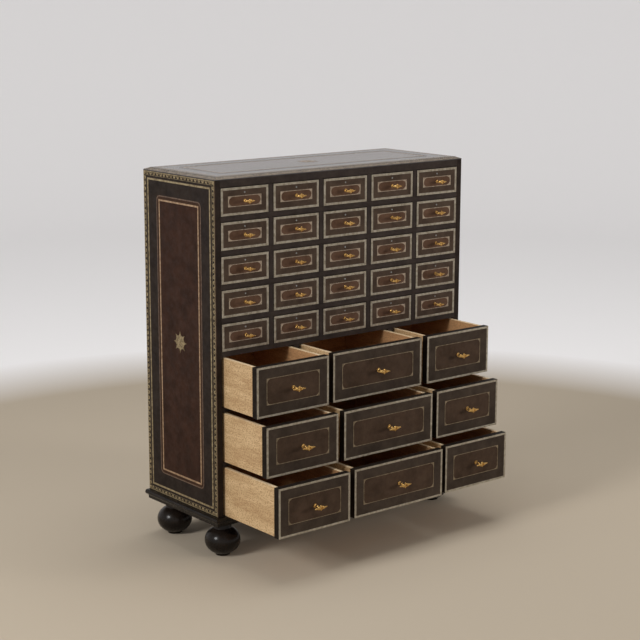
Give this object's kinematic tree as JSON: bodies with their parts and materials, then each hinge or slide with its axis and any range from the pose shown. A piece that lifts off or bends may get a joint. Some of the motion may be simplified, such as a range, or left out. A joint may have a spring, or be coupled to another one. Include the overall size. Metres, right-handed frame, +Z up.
{
  "type": "apothecary chest",
  "caption": "Leather-covered apothecary chest on ball feet, with small drawers in rows above deeper ones, each on its own slide with a brass bar pull.",
  "frame": {"origin": "on the floor, under the middle of the chest's overall box with its drawers drawn out as pictured", "axes": "+Z up, drawers slide out towards -Y, +X to the right seen from the front"},
  "size_m": [0.944, 0.6266, 1.08],
  "materials": {
    "case_leather": "wooden boards covered in dark brown-black leather, semi-gloss, gold-tooled borders on the sides",
    "top_leather": "board covered in dark leather with a soft sheen and a gold-tooled bevel",
    "back_panel": "painted black, satin",
    "drawer_wood": "pale bare wood boards; the front is covered in dark leather with pale tooled lines",
    "brass": "antique brass, polished on the high points",
    "black_lacquer": "turned wood, black gloss lacquer",
    "steel_screws": "zinc-plated"
  },
  "bodies": {
    "case": {"case_side_left": "case_leather", "case_side_right": "case_leather", "case_top_board": "case_leather", "case_base_board": "case_leather", "case_cap": "top_leather", "middle_shelf": "case_leather", "case_back_panel": "back_panel", "case_back_screws": "steel_screws", "small_drawer_shelves": "case_leather", "large_drawer_shelves": "case_leather", "small_drawer_dividers": "case_leather", "large_drawer_dividers": "case_leather", "plinth_moulding": "black_lacquer", "foot_front_left": "black_lacquer", "foot_front_right": "black_lacquer", "foot_back_left": "black_lacquer", "foot_back_right": "black_lacquer"},
    "small_drawer_r1c1": {"small_drawer_r1c1": "drawer_wood"},
    "small_drawer_r1c2": {"small_drawer_r1c2": "drawer_wood"},
    "small_drawer_r1c3": {"small_drawer_r1c3": "drawer_wood"},
    "small_drawer_r1c4": {"small_drawer_r1c4": "drawer_wood"},
    "small_drawer_r1c5": {"small_drawer_r1c5": "drawer_wood"},
    "small_drawer_r2c1": {"small_drawer_r2c1": "drawer_wood"},
    "small_drawer_r2c2": {"small_drawer_r2c2": "drawer_wood"},
    "small_drawer_r2c3": {"small_drawer_r2c3": "drawer_wood"},
    "small_drawer_r2c4": {"small_drawer_r2c4": "drawer_wood"},
    "small_drawer_r2c5": {"small_drawer_r2c5": "drawer_wood"},
    "small_drawer_r3c1": {"small_drawer_r3c1": "drawer_wood"},
    "small_drawer_r3c2": {"small_drawer_r3c2": "drawer_wood"},
    "small_drawer_r3c3": {"small_drawer_r3c3": "drawer_wood"},
    "small_drawer_r3c4": {"small_drawer_r3c4": "drawer_wood"},
    "small_drawer_r3c5": {"small_drawer_r3c5": "drawer_wood"},
    "small_drawer_r4c1": {"small_drawer_r4c1": "drawer_wood"},
    "small_drawer_r4c2": {"small_drawer_r4c2": "drawer_wood"},
    "small_drawer_r4c3": {"small_drawer_r4c3": "drawer_wood"},
    "small_drawer_r4c4": {"small_drawer_r4c4": "drawer_wood"},
    "small_drawer_r4c5": {"small_drawer_r4c5": "drawer_wood"},
    "small_drawer_r5c1": {"small_drawer_r5c1": "drawer_wood"},
    "small_drawer_r5c2": {"small_drawer_r5c2": "drawer_wood"},
    "small_drawer_r5c3": {"small_drawer_r5c3": "drawer_wood"},
    "small_drawer_r5c4": {"small_drawer_r5c4": "drawer_wood"},
    "small_drawer_r5c5": {"small_drawer_r5c5": "drawer_wood"},
    "large_drawer_r1c1": {"large_drawer_r1c1": "drawer_wood", "large_pull_r1c1": "brass"},
    "large_drawer_r1c2": {"large_drawer_r1c2": "drawer_wood", "large_pull_r1c2": "brass"},
    "large_drawer_r1c3": {"large_drawer_r1c3": "drawer_wood", "large_pull_r1c3": "brass"},
    "large_drawer_r2c1": {"large_drawer_r2c1": "drawer_wood", "large_pull_r2c1": "brass"},
    "large_drawer_r2c2": {"large_drawer_r2c2": "drawer_wood", "large_pull_r2c2": "brass"},
    "large_drawer_r2c3": {"large_drawer_r2c3": "drawer_wood", "large_pull_r2c3": "brass"},
    "large_drawer_r3c1": {"large_drawer_r3c1": "drawer_wood", "large_pull_r3c1": "brass"},
    "large_drawer_r3c2": {"large_drawer_r3c2": "drawer_wood", "large_pull_r3c2": "brass"},
    "large_drawer_r3c3": {"large_drawer_r3c3": "drawer_wood", "large_pull_r3c3": "brass"}
  },
  "joints": [
    {"name": "small_drawer_r1c1_slide", "type": "slide", "parent": "case", "child": "small_drawer_r1c1", "axis": [0, -1, 0], "range_m": [0, 0.28]},
    {"name": "small_drawer_r1c2_slide", "type": "slide", "parent": "case", "child": "small_drawer_r1c2", "axis": [0, -1, 0], "range_m": [0, 0.28]},
    {"name": "small_drawer_r1c3_slide", "type": "slide", "parent": "case", "child": "small_drawer_r1c3", "axis": [0, -1, 0], "range_m": [0, 0.28]},
    {"name": "small_drawer_r1c4_slide", "type": "slide", "parent": "case", "child": "small_drawer_r1c4", "axis": [0, -1, 0], "range_m": [0, 0.28]},
    {"name": "small_drawer_r1c5_slide", "type": "slide", "parent": "case", "child": "small_drawer_r1c5", "axis": [0, -1, 0], "range_m": [0, 0.28]},
    {"name": "small_drawer_r2c1_slide", "type": "slide", "parent": "case", "child": "small_drawer_r2c1", "axis": [0, -1, 0], "range_m": [0, 0.28]},
    {"name": "small_drawer_r2c2_slide", "type": "slide", "parent": "case", "child": "small_drawer_r2c2", "axis": [0, -1, 0], "range_m": [0, 0.28]},
    {"name": "small_drawer_r2c3_slide", "type": "slide", "parent": "case", "child": "small_drawer_r2c3", "axis": [0, -1, 0], "range_m": [0, 0.28]},
    {"name": "small_drawer_r2c4_slide", "type": "slide", "parent": "case", "child": "small_drawer_r2c4", "axis": [0, -1, 0], "range_m": [0, 0.28]},
    {"name": "small_drawer_r2c5_slide", "type": "slide", "parent": "case", "child": "small_drawer_r2c5", "axis": [0, -1, 0], "range_m": [0, 0.28]},
    {"name": "small_drawer_r3c1_slide", "type": "slide", "parent": "case", "child": "small_drawer_r3c1", "axis": [0, -1, 0], "range_m": [0, 0.28]},
    {"name": "small_drawer_r3c2_slide", "type": "slide", "parent": "case", "child": "small_drawer_r3c2", "axis": [0, -1, 0], "range_m": [0, 0.28]},
    {"name": "small_drawer_r3c3_slide", "type": "slide", "parent": "case", "child": "small_drawer_r3c3", "axis": [0, -1, 0], "range_m": [0, 0.28]},
    {"name": "small_drawer_r3c4_slide", "type": "slide", "parent": "case", "child": "small_drawer_r3c4", "axis": [0, -1, 0], "range_m": [0, 0.28]},
    {"name": "small_drawer_r3c5_slide", "type": "slide", "parent": "case", "child": "small_drawer_r3c5", "axis": [0, -1, 0], "range_m": [0, 0.28]},
    {"name": "small_drawer_r4c1_slide", "type": "slide", "parent": "case", "child": "small_drawer_r4c1", "axis": [0, -1, 0], "range_m": [0, 0.28]},
    {"name": "small_drawer_r4c2_slide", "type": "slide", "parent": "case", "child": "small_drawer_r4c2", "axis": [0, -1, 0], "range_m": [0, 0.28]},
    {"name": "small_drawer_r4c3_slide", "type": "slide", "parent": "case", "child": "small_drawer_r4c3", "axis": [0, -1, 0], "range_m": [0, 0.28]},
    {"name": "small_drawer_r4c4_slide", "type": "slide", "parent": "case", "child": "small_drawer_r4c4", "axis": [0, -1, 0], "range_m": [0, 0.28]},
    {"name": "small_drawer_r4c5_slide", "type": "slide", "parent": "case", "child": "small_drawer_r4c5", "axis": [0, -1, 0], "range_m": [0, 0.28]},
    {"name": "small_drawer_r5c1_slide", "type": "slide", "parent": "case", "child": "small_drawer_r5c1", "axis": [0, -1, 0], "range_m": [0, 0.28]},
    {"name": "small_drawer_r5c2_slide", "type": "slide", "parent": "case", "child": "small_drawer_r5c2", "axis": [0, -1, 0], "range_m": [0, 0.28]},
    {"name": "small_drawer_r5c3_slide", "type": "slide", "parent": "case", "child": "small_drawer_r5c3", "axis": [0, -1, 0], "range_m": [0, 0.28]},
    {"name": "small_drawer_r5c4_slide", "type": "slide", "parent": "case", "child": "small_drawer_r5c4", "axis": [0, -1, 0], "range_m": [0, 0.28]},
    {"name": "small_drawer_r5c5_slide", "type": "slide", "parent": "case", "child": "small_drawer_r5c5", "axis": [0, -1, 0], "range_m": [0, 0.28]},
    {"name": "large_drawer_r1c1_slide", "type": "slide", "parent": "case", "child": "large_drawer_r1c1", "axis": [0, -1, 0], "range_m": [-0.157, 0.123]},
    {"name": "large_drawer_r1c2_slide", "type": "slide", "parent": "case", "child": "large_drawer_r1c2", "axis": [0, -1, 0], "range_m": [-0.149, 0.131]},
    {"name": "large_drawer_r1c3_slide", "type": "slide", "parent": "case", "child": "large_drawer_r1c3", "axis": [0, -1, 0], "range_m": [-0.149, 0.131]},
    {"name": "large_drawer_r2c1_slide", "type": "slide", "parent": "case", "child": "large_drawer_r2c1", "axis": [0, -1, 0], "range_m": [-0.199, 0.081]},
    {"name": "large_drawer_r2c2_slide", "type": "slide", "parent": "case", "child": "large_drawer_r2c2", "axis": [0, -1, 0], "range_m": [-0.198, 0.082]},
    {"name": "large_drawer_r2c3_slide", "type": "slide", "parent": "case", "child": "large_drawer_r2c3", "axis": [0, -1, 0], "range_m": [-0.193, 0.087]},
    {"name": "large_drawer_r3c1_slide", "type": "slide", "parent": "case", "child": "large_drawer_r3c1", "axis": [0, -1, 0], "range_m": [-0.251, 0.029]},
    {"name": "large_drawer_r3c2_slide", "type": "slide", "parent": "case", "child": "large_drawer_r3c2", "axis": [0, -1, 0], "range_m": [-0.244, 0.036]},
    {"name": "large_drawer_r3c3_slide", "type": "slide", "parent": "case", "child": "large_drawer_r3c3", "axis": [0, -1, 0], "range_m": [-0.234, 0.046]}
  ]
}
